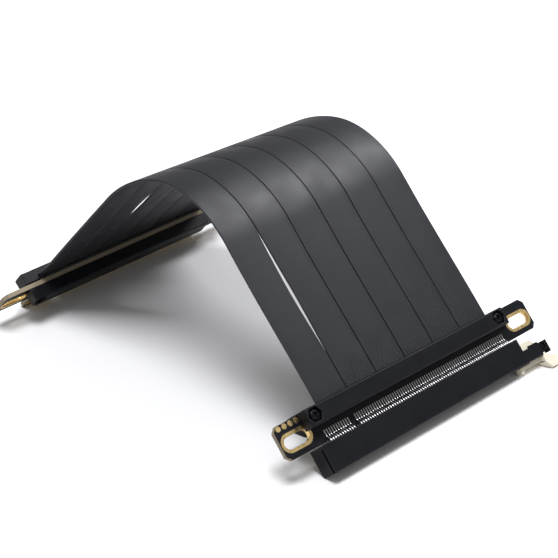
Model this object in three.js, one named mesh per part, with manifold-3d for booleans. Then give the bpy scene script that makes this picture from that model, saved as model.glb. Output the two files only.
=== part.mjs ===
// A flat graphics-card riser cable: six ribbons arch from a card-socket head to a card-edge plug head.
// Millimetres, +Z up. X runs along the cable, Y along the two heads, and the floor is z = 0.
// Both heads are drawn flat in their own axes: x towards the card, y along the head, z off the board.

import * as THREE from "three";
import { mergeVertices } from "three/addons/utils/BufferGeometryUtils.js";
import Module from "manifold-3d";

const wasm = await Module();
wasm.setup();

// How the cable stands
const SOCKET_TILT = 45; // degrees that the socket head points below level
const PLUG_TILT = 48.5; // degrees that the plug head points below level
const PLUG_YAW = 3.9; // degrees that the plug head is turned in plan
const PLUG_SIDE_SHIFT = -14; // plug head's sideways offset
const HEAD_SPACING = 141.6; // between the two heads' front board lines, level
const CREST_RADIUS = 38; // bend of the ribbons at the top of the arch

// Clearances
const CLEARANCE = 0.3; // between pieces that touch
const JOINT_OVERLAP = 0.2; // by which solids of one piece run into each other
const CUT_MARGIN = 1; // by which a cutter runs past a face

// Boards
const BOARD_THICKNESS = 1.6;
const LEFT_EAR_LENGTH = 10.2; // past the covers
const RIGHT_EAR_LENGTH = 14.5;
const BOARD_BACK = -9.7; // edge on the cable side
const BOARD_FRONT = 1.5; // edge on the card side
const BOARD_CHAMFER = 1.6;
const EAR_SLOT_INSET = 6.3; // from the end of the ear to the middle of its slot
const EAR_SLOT_LENGTH = 11.9; // of the opening that holds the plating
const EAR_SLOT_WIDTH = 6.1;
const EAR_SLOT_X = -3.4;
const PLATING_RIM = 0.85;
const PLATING_PROUD = 0.05;
const PAD_DIAMETER = 2.1;
const PAD_PITCH = 2.42;
const PAD_COUNT = 4;
const PAD_INSET = 1.9; // from the end of the ear to the first pad
const PAD_X = -8.6;
const LAND_HEIGHT = 0.08; // test pads and card-edge contacts above the board

// Card edge of the plug
const TONGUE_WIDTH = 85.2;
const TONGUE_MARGIN = 1.1; // from the side of the card edge to the middle of its first contact
const TONGUE_END = 10;
const TONGUE_CHAMFER = 0.8;
const KEY_NOTCH_WIDTH = 1.9;
const KEY_NOTCH_DEPTH = 6.4;
const FINGER_WIDTH = 0.7;
const FINGER_START = 4.6;
const FINGER_END = 9.4;

// Contacts, spread over the card edge
const CONTACT_COUNT = 82;
const CONTACTS_BEFORE_KEY = 11;
const KEY_STEP = 3; // between the contacts on each side of the key
const CONTACT_WIDTH = 0.44;
const CONTACT_THICKNESS = 0.24;
const CONTACT_SPAN = TONGUE_WIDTH - 2 * TONGUE_MARGIN;
const CONTACT_PITCH = (CONTACT_SPAN - KEY_STEP) / (CONTACT_COUNT - 2);
const KEY_Y = -CONTACT_SPAN / 2 + (CONTACTS_BEFORE_KEY - 1) * CONTACT_PITCH + KEY_STEP / 2;

// Covers
const COVER_BACK = -10.1;
const OUTER_FRONT = -4;
const INNER_FRONT = -2.4;
const COVER_HEIGHT = 4.4;
const COVER_WALL = 1;
const INNER_ROOF = 1.2;
const COVER_BEVEL = 0.5;
const INNER_STEP = 1.2; // by which the inner cover's right end is thinner
const INNER_STEP_LENGTH = 7;
const INNER_CORNER = 3.4; // cut off the inner cover's left end, beside the ear's slot
const LUG_BACK = -6.5;
const LUG_LENGTH = 2.5;
const LUG_HEIGHT = 1.7;
const SCREW_X = -7.3;
const SCREW_INSET = 3.2; // from the ribbons' edge to a screw, and on to the cover's end
const POCKET_DEPTH = 1.6;
const SCREW_HEAD_DIAMETER = 3.4;
const SCREW_HEAD_HEIGHT = 1.2;
const SCREW_SHANK_DIAMETER = 1.9;
const RECESS_WIDTH = 0.5;
const RECESS_LENGTH = 2;
const RECESS_DEPTH = 0.7;
const NUT_WIDTH = 4;
const NUT_HEIGHT = 1.2;

// Ribbons
const RIBBON_COUNT = 6;
const RIBBON_WIDTH = 12.75;
const RIBBON_GAP = 0.4;
const RIBBON_THICKNESS = 0.9;
const RIBBON_SEAT = 0.85; // underside of a ribbon above the board
const RIBBONS_SIDE_SHIFT = -1.95; // middle of the ribbons, off the middle of the contacts
const RIBBON_END_X = -7.2; // where a ribbon stops under the outer cover
const LEG_STEPS = 8;
const CREST_STEPS = 14;
const SOCKET_RIBBON_SHIFT = 1.1; // sideways, of the ribbons where they leave the socket head
const SHIFT_END = 0.3; // share of the length over which that shift fades
const TWIST_START = 0.48; // share of the length at which the ribbons begin to turn to the plug
const PARTINGS = [
  { seam: 1, opening: 1.2, from: 0.05, to: 0.37 },
  { seam: 2, opening: 2, from: 0.7, to: 0.88 },
];
const RIBBON_SPAN = RIBBON_COUNT * (RIBBON_WIDTH + RIBBON_GAP) - RIBBON_GAP;
const RIBBON_FIRST_EDGE = RIBBONS_SIDE_SHIFT - RIBBON_SPAN / 2;
const RIBBON_LAST_EDGE = RIBBONS_SIDE_SHIFT + RIBBON_SPAN / 2;

// Ribbon ends under the outer cover
const LEADS_PER_RIBBON = 5;
const LEAD_WIDTH = 0.5;
const LEAD_LENGTH = 1;
const LEAD_THICKNESS = 0.4;
const GROUND_BAR_WIDTH = 0.5;
const BEDDING_LENGTH = 2.3;

// Card socket
const SOCKET_LEFT_END = 4.3; // solid past the cavity
const SOCKET_RIGHT_END = 1.8;
const SOCKET_BACK = 2;
const SOCKET_MOUTH = 11;
const SOCKET_THICKNESS = 7.5;
const SOCKET_BACK_WALL = 1.2;
const SOCKET_SIDE_WALL = 0.65;
const SOCKET_LIP = 1.2;
const SOCKET_BEVEL = 0.35;
const CARD_SLOT_CLEARANCE = 0.3; // over the card edge, in all
const CAVITY_MARGIN = 0.58; // past the last contact at each end
const KEY_WIDTH = 1.65;
const TAIL_TOP = -1.9;
const TAIL_RISE_X = 1.65;
const TAIL_RISE = 1.4;
const BEAM_TIP_X = 8.6;
const SHEET_START_X = 2.3; // where the contacts join inside the housing
const BEAM_BEND_X = 4.8;
const END_GROOVE_WIDTH = 1;
const END_GROOVE_DEPTH = 0.5;
const END_GROOVE_Z = 1.7;

// Latch at the socket's far end
const ARM_BACK = 6.6;
const ARM_LENGTH = 11.8; // past the socket's end
const ARM_END_WALL = 1;
const LATCH_THICKNESS = 2.6;
const PIVOT_X = 8.2;
const PIVOT_INSET = 2.6; // from the end of the arm
const PIVOT_RADIUS = 1.05;
const ARM_NOTCH_X = 9.9;
const ARM_NOTCH_LENGTH = 3;
const ARM_RAIL_WIDTH = 1.2;
const ARM_RAIL_HEIGHT = 0.6;
const LATCH_HEEL_X = 4.2;
const LATCH_HEEL_GAP = 1.4; // between the arm's inner wall and the lever's heel
const LATCH_HEEL_LENGTH = 4.8;
const LATCH_BAR_HEIGHT = 1.3;
const LATCH_NOSE_REACH = 2.9; // over the end of the card slot
const LATCH_NOSE_HEIGHT = 2;
const LATCH_NOSE_LENGTH = 1.6;
const TAB_TIP_X = 16.2;
const TAB_WIDTH = 4;
const TAB_OVERHANG = 1.6; // past the end of the arm
const TAB_ROOT_RISE = 0.8;
const TAB_ROOT_SETBACK = 0.6;
const TAB_THICKNESS = 6.6;

// Sizes that follow
const COVER_START = RIBBON_FIRST_EDGE - 2 * SCREW_INSET;
const COVER_END = RIBBON_LAST_EDGE + 2 * SCREW_INSET;
const BOARD_START = COVER_START - LEFT_EAR_LENGTH;
const BOARD_END = COVER_END + RIGHT_EAR_LENGTH;
const CAVITY_LENGTH = CONTACT_SPAN + CONTACT_WIDTH + 2 * CAVITY_MARGIN;
const SOCKET_START = -CAVITY_LENGTH / 2 - SOCKET_LEFT_END;
const SOCKET_END = CAVITY_LENGTH / 2 + SOCKET_RIGHT_END;
const ARM_END = SOCKET_END + ARM_LENGTH;
const BOARD_MIDDLE = -BOARD_THICKNESS / 2;
const SOCKET_TOP = BOARD_MIDDLE + SOCKET_THICKNESS / 2;
const SOCKET_BOTTOM = BOARD_MIDDLE - SOCKET_THICKNESS / 2;
const COVER_TOP = CLEARANCE + COVER_HEIGHT;
const RIBBON_TOP = RIBBON_SEAT + RIBBON_THICKNESS;
const POCKET_WIDTH = Math.max(SCREW_HEAD_DIAMETER, NUT_WIDTH) + 2 * CLEARANCE;
const NUT_POCKET_DEPTH = POCKET_DEPTH + INNER_STEP;
const NUT_TOP = -BOARD_THICKNESS - COVER_TOP + NUT_POCKET_DEPTH - CLEARANCE;
const BEDDING_BOTTOM = 0.25;
const CARD_SLOT_WIDTH = BOARD_THICKNESS + CARD_SLOT_CLEARANCE;
const CARD_SLOT_LENGTH = TONGUE_WIDTH + 2 * CARD_SLOT_CLEARANCE;
const SHANK_HOLE_DIAMETER = SCREW_SHANK_DIAMETER + 2 * CLEARANCE;
const LATCH_GAP = LATCH_THICKNESS + 2 * CLEARANCE;
const PIVOT_Y = ARM_END - PIVOT_INSET;
const LATCH_HUB_RADIUS = PIVOT_INSET - ARM_END_WALL - CLEARANCE;
const LATCH_NOSE = SOCKET_END - LATCH_NOSE_REACH;
const socketSin = Math.sin(THREE.MathUtils.degToRad(SOCKET_TILT));
const socketCos = Math.cos(THREE.MathUtils.degToRad(SOCKET_TILT));
const plugSin = Math.sin(THREE.MathUtils.degToRad(PLUG_TILT));
const plugCos = Math.cos(THREE.MathUtils.degToRad(PLUG_TILT));
const SOCKET_HEIGHT = (SOCKET_MOUTH - SOCKET_BEVEL) * socketSin - SOCKET_BOTTOM * socketCos;
const PLUG_HEIGHT = TONGUE_END * plugSin + BOARD_THICKNESS * plugCos;
const YAW = THREE.MathUtils.degToRad(PLUG_YAW);
const PLUG_REACH = RIBBON_END_X * plugCos + (RIBBON_SEAT + RIBBON_THICKNESS / 2) * plugSin; // level

// Finishes
const finishes = {
  mask: { color: 0x24262a, roughness: 0.45, metalness: 0 },
  plastic: { color: 0x232326, roughness: 0.5, metalness: 0 },
  ribbon: { color: 0x2e3034, roughness: 0.42, metalness: 0 },
  gold: { color: 0xd9b45c, roughness: 0.3, metalness: 1 },
  tin: { color: 0xc9ccd0, roughness: 0.3, metalness: 1 },
  blackSteel: { color: 0x1c1d1f, roughness: 0.35, metalness: 0.8 },
  ivory: { color: 0xe6dfc8, roughness: 0.5, metalness: 0 },
  foam: { color: 0x3a3a3c, roughness: 0.9, metalness: 0 },
};

function toSolid(geometry) {
  geometry.deleteAttribute("normal");
  geometry.deleteAttribute("uv");
  const merged = mergeVertices(geometry, 1e-4);
  const mesh = new wasm.Mesh({
    numProp: 3,
    vertProperties: new Float32Array(merged.attributes.position.array),
    triVerts: new Uint32Array(merged.index.array),
  });
  return new wasm.Manifold(mesh);
}

function toGeometry(solid) {
  const mesh = solid.getMesh();
  const geometry = new THREE.BufferGeometry();
  geometry.setAttribute("position", new THREE.BufferAttribute(new Float32Array(mesh.vertProperties), 3));
  geometry.setIndex(new THREE.BufferAttribute(new Uint32Array(mesh.triVerts), 1));
  return geometry;
}

// A block between two corners, each given as [x, y, z].
function block(low, high) {
  const size = high.map((value, axis) => value - low[axis]);
  const geometry = new THREE.BoxGeometry(...size);
  geometry.translate(...low.map((value, axis) => value + size[axis] / 2));
  return toSolid(geometry);
}

// A flat plate: an outline of [x, y] points between two heights.
function plate(outline, bottom, top) {
  const shape = new THREE.Shape(outline.map(([x, y]) => new THREE.Vector2(x, y)));
  const geometry = new THREE.ExtrudeGeometry(shape, { depth: top - bottom, bevelEnabled: false });
  geometry.translate(0, 0, bottom);
  return toSolid(geometry);
}

// A long section: an outline of [x, z] points carried along y.
function bar(outline, start, end) {
  const shape = new THREE.Shape(outline.map(([x, z]) => new THREE.Vector2(x, z)));
  const geometry = new THREE.ExtrudeGeometry(shape, { depth: end - start, bevelEnabled: false });
  geometry.rotateX(Math.PI / 2);
  geometry.translate(0, end, 0);
  return toSolid(geometry);
}

function cylinder(x, y, diameter, bottom, top, sides = 16) {
  const geometry = new THREE.CylinderGeometry(diameter / 2, diameter / 2, top - bottom, sides);
  geometry.rotateX(Math.PI / 2);
  geometry.translate(x, y, (top + bottom) / 2);
  return toSolid(geometry);
}

function hexagon(x, y, acrossFlats, bottom, top) {
  return cylinder(x, y, acrossFlats / Math.cos(Math.PI / 6), bottom, top, 6);
}

// An oblong with round ends, its length along y.
function oblong(x, y, length, width, bottom, top) {
  const radius = width / 2;
  const reach = length / 2 - radius;
  const shape = new THREE.Shape();
  shape.absarc(x, y + reach, radius, 0, Math.PI, false);
  shape.absarc(x, y - reach, radius, Math.PI, 2 * Math.PI, false);
  const settings = { depth: top - bottom, bevelEnabled: false, curveSegments: 6 };
  const geometry = new THREE.ExtrudeGeometry(shape, settings);
  geometry.translate(0, 0, bottom);
  return toSolid(geometry);
}

const joined = (solids) => solids.reduce((whole, solid) => whole.add(solid));
const cut = (solid, cutters) => cutters.reduce((rest, cutter) => rest.subtract(cutter), solid);

function addPart(group, name, solid, finish) {
  const geometry = solid.isBufferGeometry ? solid : toGeometry(solid);
  const mesh = new THREE.Mesh(geometry, new THREE.MeshStandardMaterial(finishes[finish]));
  mesh.name = name;
  group.add(mesh);
}

// The places of the contacts along the head, with the key's wider step between two of them.
function contactPlaces() {
  return Array.from({ length: CONTACT_COUNT }, (_, index) => {
    const step = index < CONTACTS_BEFORE_KEY ? 0 : KEY_STEP - CONTACT_PITCH;
    return -CONTACT_SPAN / 2 + index * CONTACT_PITCH + step;
  });
}

const screwPlaces = [
  ["left", COVER_START + SCREW_INSET],
  ["right", COVER_END - SCREW_INSET],
];
const slotPlaces = [
  ["left", BOARD_START + EAR_SLOT_INSET],
  ["right", BOARD_END - EAR_SLOT_INSET],
];

function boardOutline(tongue) {
  const chamfer = BOARD_CHAMFER;
  const points = [
    [BOARD_FRONT, BOARD_START + chamfer],
    ...tongue,
    [BOARD_FRONT, BOARD_END - chamfer],
    [BOARD_FRONT - chamfer, BOARD_END],
    [BOARD_BACK + chamfer, BOARD_END],
    [BOARD_BACK, BOARD_END - chamfer],
    [BOARD_BACK, BOARD_START + chamfer],
    [BOARD_BACK + chamfer, BOARD_START],
    [BOARD_FRONT - chamfer, BOARD_START],
  ];
  return points;
}

function makeBoard(tongue) {
  const sheet = plate(boardOutline(tongue), -BOARD_THICKNESS, 0);
  const below = -BOARD_THICKNESS - CUT_MARGIN;
  const slots = slotPlaces.map(([, y]) => {
    return oblong(EAR_SLOT_X, y, EAR_SLOT_LENGTH, EAR_SLOT_WIDTH, below, CUT_MARGIN);
  });
  const holes = screwPlaces.map(([, y]) => cylinder(SCREW_X, y, SHANK_HOLE_DIAMETER, below, CUT_MARGIN));
  return cut(sheet, [...slots, ...holes]);
}

function addSlotPlatings(group, prefix) {
  const length = EAR_SLOT_LENGTH - 2 * CLEARANCE;
  const width = EAR_SLOT_WIDTH - 2 * CLEARANCE;
  const bottom = -BOARD_THICKNESS - PLATING_PROUD;
  for (const [side, y] of slotPlaces) {
    const outside = oblong(EAR_SLOT_X, y, length, width, bottom, PLATING_PROUD);
    const hole = oblong(
      EAR_SLOT_X, y, length - 2 * PLATING_RIM, width - 2 * PLATING_RIM, bottom - CUT_MARGIN, CUT_MARGIN,
    );
    addPart(group, `${prefix}_slot_plating_${side}`, outside.subtract(hole), "gold");
  }
}

// A cover's full block, with its outer long edges eased and a hex pocket over each shank hole.
function coverBlank(front, pocketDepth) {
  const section = [
    [COVER_BACK, CLEARANCE],
    [front, CLEARANCE],
    [front, COVER_TOP - COVER_BEVEL],
    [front - COVER_BEVEL, COVER_TOP],
    [COVER_BACK + COVER_BEVEL, COVER_TOP],
    [COVER_BACK, COVER_TOP - COVER_BEVEL],
  ];
  const cutters = screwPlaces.flatMap(([, y]) => [
    cylinder(SCREW_X, y, SHANK_HOLE_DIAMETER, CLEARANCE - CUT_MARGIN, COVER_TOP),
    hexagon(SCREW_X, y, POCKET_WIDTH, COVER_TOP - pocketDepth, COVER_TOP + CUT_MARGIN),
  ]);
  return cut(bar(section, COVER_START, COVER_END), cutters);
}

// The outer cover lets the ribbons in through a shallow mouth and has a deeper hollow over their leads.
function makeOuterCover(shift) {
  const left = RIBBON_FIRST_EDGE + shift - CLEARANCE;
  const right = RIBBON_LAST_EDGE + shift + CLEARANCE;
  const mouth = block(
    [COVER_BACK - CUT_MARGIN, left, CLEARANCE - CUT_MARGIN],
    [RIBBON_END_X, right, RIBBON_TOP + CLEARANCE],
  );
  const hollow = block(
    [RIBBON_END_X - CLEARANCE, left, CLEARANCE - CUT_MARGIN],
    [OUTER_FRONT - COVER_WALL, right, COVER_TOP - POCKET_DEPTH - CLEARANCE],
  );
  const lug = block(
    [LUG_BACK, COVER_END - JOINT_OVERLAP, CLEARANCE],
    [OUTER_FRONT, COVER_END + LUG_LENGTH, CLEARANCE + LUG_HEIGHT],
  );
  return cut(coverBlank(OUTER_FRONT, POCKET_DEPTH), [mouth, hollow]).add(lug);
}

// The inner cover is closed on every side but the board's. Its left end has a cut corner and its right
// end is thinner.
function makeInnerCover() {
  const hollow = block(
    [COVER_BACK + COVER_WALL, COVER_START + 2 * SCREW_INSET, CLEARANCE - CUT_MARGIN],
    [INNER_FRONT - COVER_WALL, COVER_END - INNER_STEP_LENGTH - COVER_WALL, COVER_TOP - INNER_ROOF],
  );
  const step = block(
    [COVER_BACK - CUT_MARGIN, COVER_END - INNER_STEP_LENGTH, COVER_TOP - INNER_STEP],
    [INNER_FRONT + CUT_MARGIN, COVER_END + CUT_MARGIN, COVER_TOP + CUT_MARGIN],
  );
  const cornerOutline = [
    [INNER_FRONT - INNER_CORNER, COVER_START],
    [INNER_FRONT - INNER_CORNER, COVER_START - CUT_MARGIN],
    [INNER_FRONT + CUT_MARGIN, COVER_START - CUT_MARGIN],
    [INNER_FRONT + CUT_MARGIN, COVER_START + INNER_CORNER],
    [INNER_FRONT, COVER_START + INNER_CORNER],
  ];
  const corner = plate(cornerOutline, CLEARANCE - CUT_MARGIN, COVER_TOP + CUT_MARGIN);
  return toLowerFace(cut(coverBlank(INNER_FRONT, NUT_POCKET_DEPTH), [hollow, step, corner]));
}

// Turns a solid on the board's upper face over onto its lower face.
function toLowerFace(solid) {
  return solid.mirror([0, 0, 1]).translate([0, 0, -BOARD_THICKNESS]);
}

function makeScrew(y) {
  const seat = COVER_TOP - POCKET_DEPTH + CLEARANCE;
  const tip = NUT_TOP - NUT_HEIGHT;
  const head = SCREW_HEAD_DIAMETER / 2;
  const shank = SCREW_SHANK_DIAMETER / 2;
  const top = seat + SCREW_HEAD_HEIGHT;
  const profile = [
    [0, tip],
    [shank, tip],
    [shank, seat],
    [head, seat],
    [head, top - SCREW_HEAD_HEIGHT / 3],
    [head - SCREW_HEAD_HEIGHT / 3, top],
    [0, top],
  ];
  const geometry = new THREE.LatheGeometry(profile.map(([r, z]) => new THREE.Vector2(r, z)), 16);
  geometry.rotateX(Math.PI / 2);
  geometry.translate(SCREW_X, y, 0);
  const long = RECESS_LENGTH / 2;
  const thin = RECESS_WIDTH / 2;
  const floor = top - RECESS_DEPTH;
  const recess = [
    block([SCREW_X - long, y - thin, floor], [SCREW_X + long, y + thin, top + CUT_MARGIN]),
    block([SCREW_X - thin, y - long, floor], [SCREW_X + thin, y + long, top + CUT_MARGIN]),
  ];
  return cut(toSolid(geometry), recess);
}

function addScrewsAndNuts(group, prefix) {
  for (const [side, y] of screwPlaces) {
    addPart(group, `${prefix}_cover_screw_${side}`, makeScrew(y), "blackSteel");
    const bottom = NUT_TOP - NUT_HEIGHT;
    const nut = hexagon(SCREW_X, y, NUT_WIDTH, bottom, NUT_TOP);
    const bore = cylinder(SCREW_X, y, SHANK_HOLE_DIAMETER, bottom - CUT_MARGIN, NUT_TOP + CUT_MARGIN);
    addPart(group, `${prefix}_cover_nut_${side}`, nut.subtract(bore), "blackSteel");
  }
}

// The ribbons' bared conductors: short leads that stand on a ground bar across the head.
function addSolderBar(group, prefix, shift) {
  const back = RIBBON_END_X + CLEARANCE;
  const front = back + GROUND_BAR_WIDTH;
  const pieces = [block([back, RIBBON_FIRST_EDGE, CLEARANCE], [front, RIBBON_LAST_EDGE, RIBBON_TOP])];
  const step = (RIBBON_WIDTH + RIBBON_GAP) / LEADS_PER_RIBBON;
  for (let index = 0; index < RIBBON_COUNT * LEADS_PER_RIBBON; index += 1) {
    const y = RIBBON_FIRST_EDGE + (index + 0.5) * step - RIBBON_GAP / 2;
    const low = [front - JOINT_OVERLAP, y - LEAD_WIDTH / 2, CLEARANCE];
    pieces.push(block(low, [front + LEAD_LENGTH, y + LEAD_WIDTH / 2, CLEARANCE + LEAD_THICKNESS]));
  }
  addPart(group, `${prefix}_solder_bar`, joined(pieces).translate([0, shift, 0]), "tin");
}

// A strip of foam beds the ribbons on the board.
function addBeddingStrip(group, prefix, shift) {
  const back = COVER_BACK + CLEARANCE;
  const low = [back, RIBBON_FIRST_EDGE, BEDDING_BOTTOM];
  const high = [back + BEDDING_LENGTH, RIBBON_LAST_EDGE, RIBBON_SEAT - BEDDING_BOTTOM];
  addPart(group, `${prefix}_bedding_strip`, block(low, high).translate([0, shift, 0]), "foam");
}

// Plating, covers and what they clamp. The shift is the ribbons' sideways offset at this head.
function addClampedParts(group, prefix, shift) {
  addSlotPlatings(group, prefix);
  addPart(group, `${prefix}_outer_cover`, makeOuterCover(shift), "plastic");
  addPart(group, `${prefix}_inner_cover`, makeInnerCover(), "plastic");
  addScrewsAndNuts(group, prefix);
  addSolderBar(group, prefix, shift);
  addBeddingStrip(group, prefix, shift);
}

// The row of round plated pads along the back of the left ear.
function testPads() {
  return Array.from({ length: PAD_COUNT }, (_, index) => {
    const y = BOARD_START + PAD_INSET + index * PAD_PITCH;
    return cylinder(PAD_X, y, PAD_DIAMETER, -JOINT_OVERLAP, LAND_HEIGHT, 16);
  });
}

function housingBar(back, start, end) {
  const section = [
    [back, SOCKET_BOTTOM],
    [SOCKET_MOUTH - SOCKET_BEVEL, SOCKET_BOTTOM],
    [SOCKET_MOUTH, SOCKET_BOTTOM + SOCKET_BEVEL],
    [SOCKET_MOUTH, SOCKET_TOP - SOCKET_BEVEL],
    [SOCKET_MOUTH - SOCKET_BEVEL, SOCKET_TOP],
    [back, SOCKET_TOP],
  ];
  return bar(section, start, end);
}

// The socket's hollow body, with an arm at its far end that carries the latch between two cheeks.
function makeSocketHousing() {
  const body = housingBar(SOCKET_BACK, SOCKET_START, SOCKET_END);
  const arm = housingBar(ARM_BACK, SOCKET_END - JOINT_OVERLAP, ARM_END);
  const railTop = SOCKET_TOP - ARM_RAIL_HEIGHT;
  const rails = [ARM_RAIL_WIDTH, 3 * ARM_RAIL_WIDTH].map((offset) => {
    const start = (SOCKET_END + ARM_END) / 2 - 2 * ARM_RAIL_WIDTH + offset;
    const low = [ARM_BACK - ARM_RAIL_HEIGHT, start, SOCKET_BOTTOM + ARM_RAIL_HEIGHT];
    return block(low, [ARM_BACK + JOINT_OVERLAP, start + ARM_RAIL_WIDTH, railTop]);
  });
  const slotHalf = CARD_SLOT_WIDTH / 2;
  const cavityBack = SOCKET_BACK + SOCKET_BACK_WALL;
  const cavityFront = SOCKET_MOUTH - SOCKET_LIP;
  const cavityTop = SOCKET_TOP - SOCKET_SIDE_WALL;
  const cavityBottom = SOCKET_BOTTOM + SOCKET_SIDE_WALL;
  const half = CAVITY_LENGTH / 2;
  const cardSlot = block(
    [cavityBack, -CARD_SLOT_LENGTH / 2, BOARD_MIDDLE - slotHalf],
    [SOCKET_MOUTH + CUT_MARGIN, CARD_SLOT_LENGTH / 2, BOARD_MIDDLE + slotHalf],
  );
  const cavity = block([cavityBack, -half, cavityBottom], [cavityFront, half, cavityTop]);
  const upperSlit = block(
    [SOCKET_BACK - CUT_MARGIN, -half, TAIL_RISE - CLEARANCE],
    [cavityBack + JOINT_OVERLAP, half, TAIL_RISE + CONTACT_THICKNESS + CLEARANCE],
  );
  const latchGap = block(
    [ARM_BACK - CUT_MARGIN, SOCKET_END + ARM_END_WALL, BOARD_MIDDLE - LATCH_GAP / 2],
    [SOCKET_MOUTH + CUT_MARGIN, ARM_END - ARM_END_WALL, BOARD_MIDDLE + LATCH_GAP / 2],
  );
  const notch = block(
    [ARM_NOTCH_X, ARM_END - ARM_END_WALL - ARM_NOTCH_LENGTH, SOCKET_BOTTOM - CUT_MARGIN],
    [SOCKET_MOUTH + CUT_MARGIN, ARM_END - ARM_END_WALL, SOCKET_TOP + CUT_MARGIN],
  );
  const bore = cylinder(
    PIVOT_X, PIVOT_Y, 2 * (PIVOT_RADIUS + CLEARANCE), SOCKET_BOTTOM - CUT_MARGIN, SOCKET_TOP + CUT_MARGIN,
  );
  const groove = block(
    [SOCKET_BACK + END_GROOVE_WIDTH, SOCKET_START - CUT_MARGIN, END_GROOVE_Z - END_GROOVE_WIDTH / 2],
    [SOCKET_MOUTH + CUT_MARGIN, SOCKET_START + END_GROOVE_DEPTH, END_GROOVE_Z + END_GROOVE_WIDTH / 2],
  );
  const cutters = [cardSlot, cavity, upperSlit, toLowerFace(upperSlit), latchGap, notch, bore, groove];
  const key = block(
    [cavityBack - JOINT_OVERLAP, KEY_Y - KEY_WIDTH / 2, BOARD_MIDDLE - slotHalf - JOINT_OVERLAP],
    [SOCKET_MOUTH - SOCKET_BEVEL, KEY_Y + KEY_WIDTH / 2, BOARD_MIDDLE + slotHalf + JOINT_OVERLAP],
  );
  return cut(joined([body, arm, ...rails]), cutters).add(key);
}

// One row of contacts: each tail lies on its pad and kinks up into the housing. Inside it the row is
// one sprung sheet, which bows in to meet the card.
function makeContactRow() {
  const low = CLEARANCE;
  const thick = CONTACT_THICKNESS;
  const touch = BOARD_MIDDLE + CARD_SLOT_WIDTH / 2;
  const tail = [
    [TAIL_TOP, low],
    [0, low],
    [TAIL_RISE_X, TAIL_RISE],
    [SHEET_START_X + JOINT_OVERLAP, TAIL_RISE],
    [SHEET_START_X + JOINT_OVERLAP, TAIL_RISE + thick],
    [TAIL_RISE_X - thick / 2, TAIL_RISE + thick],
    [-thick / 2, low + thick],
    [TAIL_TOP, low + thick],
  ];
  const beam = [
    [SHEET_START_X, TAIL_RISE],
    [BEAM_BEND_X, TAIL_RISE],
    [BEAM_TIP_X, touch],
    [BEAM_TIP_X, touch + thick],
    [BEAM_BEND_X, TAIL_RISE + thick],
    [SHEET_START_X, TAIL_RISE + thick],
  ];
  const edge = (CONTACT_SPAN + CONTACT_WIDTH) / 2;
  const keyGap = KEY_WIDTH / 2 + CLEARANCE;
  const keyway = block(
    [BEAM_BEND_X, KEY_Y - keyGap, touch - CUT_MARGIN],
    [BEAM_TIP_X + CUT_MARGIN, KEY_Y + keyGap, TAIL_RISE + CUT_MARGIN],
  );
  const tails = contactPlaces().map((y) => bar(tail, y - CONTACT_WIDTH / 2, y + CONTACT_WIDTH / 2));
  return joined([bar(beam, -edge, edge).subtract(keyway), ...tails]);
}

// The lever lies between the arm's cheeks on two trunnions. Its bar closes over the slot's end,
// and its broad thumb tab stands past the mouth, trimmed so that it clears the floor.
function makeLatchLever() {
  const barBottom = SOCKET_MOUTH + CLEARANCE;
  const barTop = barBottom + LATCH_BAR_HEIGHT;
  const heelStart = SOCKET_END + ARM_END_WALL + LATCH_HEEL_GAP;
  const hub = [180, 140, 100, 60].map((degrees) => {
    const angle = THREE.MathUtils.degToRad(degrees);
    return [PIVOT_X + LATCH_HUB_RADIUS * Math.cos(angle), PIVOT_Y + LATCH_HUB_RADIUS * Math.sin(angle)];
  });
  const outline = [
    [LATCH_HEEL_X, heelStart],
    [LATCH_HEEL_X, heelStart + LATCH_HEEL_LENGTH],
    ...hub,
    [barBottom, PIVOT_Y],
    [barTop, PIVOT_Y],
    [barTop, LATCH_NOSE + LATCH_NOSE_LENGTH],
    [barBottom + LATCH_NOSE_HEIGHT, LATCH_NOSE + LATCH_NOSE_LENGTH / 2],
    [barBottom + LATCH_NOSE_HEIGHT, LATCH_NOSE],
    [barBottom, LATCH_NOSE],
    [barBottom, heelStart],
  ];
  const half = LATCH_THICKNESS / 2;
  const body = plate(outline, BOARD_MIDDLE - half, BOARD_MIDDLE + half);
  const trunnion = cylinder(
    PIVOT_X, PIVOT_Y, 2 * PIVOT_RADIUS, SOCKET_BOTTOM + CLEARANCE, SOCKET_TOP - CLEARANCE,
  );
  const root = PIVOT_Y - PIVOT_RADIUS;
  const tabEnd = ARM_END + TAB_OVERHANG;
  const tabOutline = [
    [ARM_NOTCH_X + CLEARANCE, root],
    [ARM_NOTCH_X + CLEARANCE, PIVOT_Y],
    [barBottom, PIVOT_Y],
    [barTop, tabEnd],
    [TAB_TIP_X, tabEnd],
    [TAB_TIP_X, tabEnd - TAB_WIDTH],
    [barTop + TAB_ROOT_RISE, root - TAB_ROOT_SETBACK],
    [barBottom + CLEARANCE, root - TAB_ROOT_SETBACK],
  ];
  const tabHalf = TAB_THICKNESS / 2;
  const tab = plate(tabOutline, BOARD_MIDDLE - tabHalf, BOARD_MIDDLE + tabHalf);
  const floorLine = (x) => x * Math.tan(THREE.MathUtils.degToRad(SOCKET_TILT)) -
    (SOCKET_HEIGHT - CLEARANCE) / socketCos;
  const far = TAB_TIP_X + CUT_MARGIN;
  const deep = floorLine(0) - TAB_THICKNESS;
  const ground = bar(
    [[0, deep], [far, deep], [far, floorLine(far)], [0, floorLine(0)]],
    SOCKET_START, ARM_END + TAB_THICKNESS,
  );
  return joined([body, trunnion, tab]).subtract(ground);
}

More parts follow.
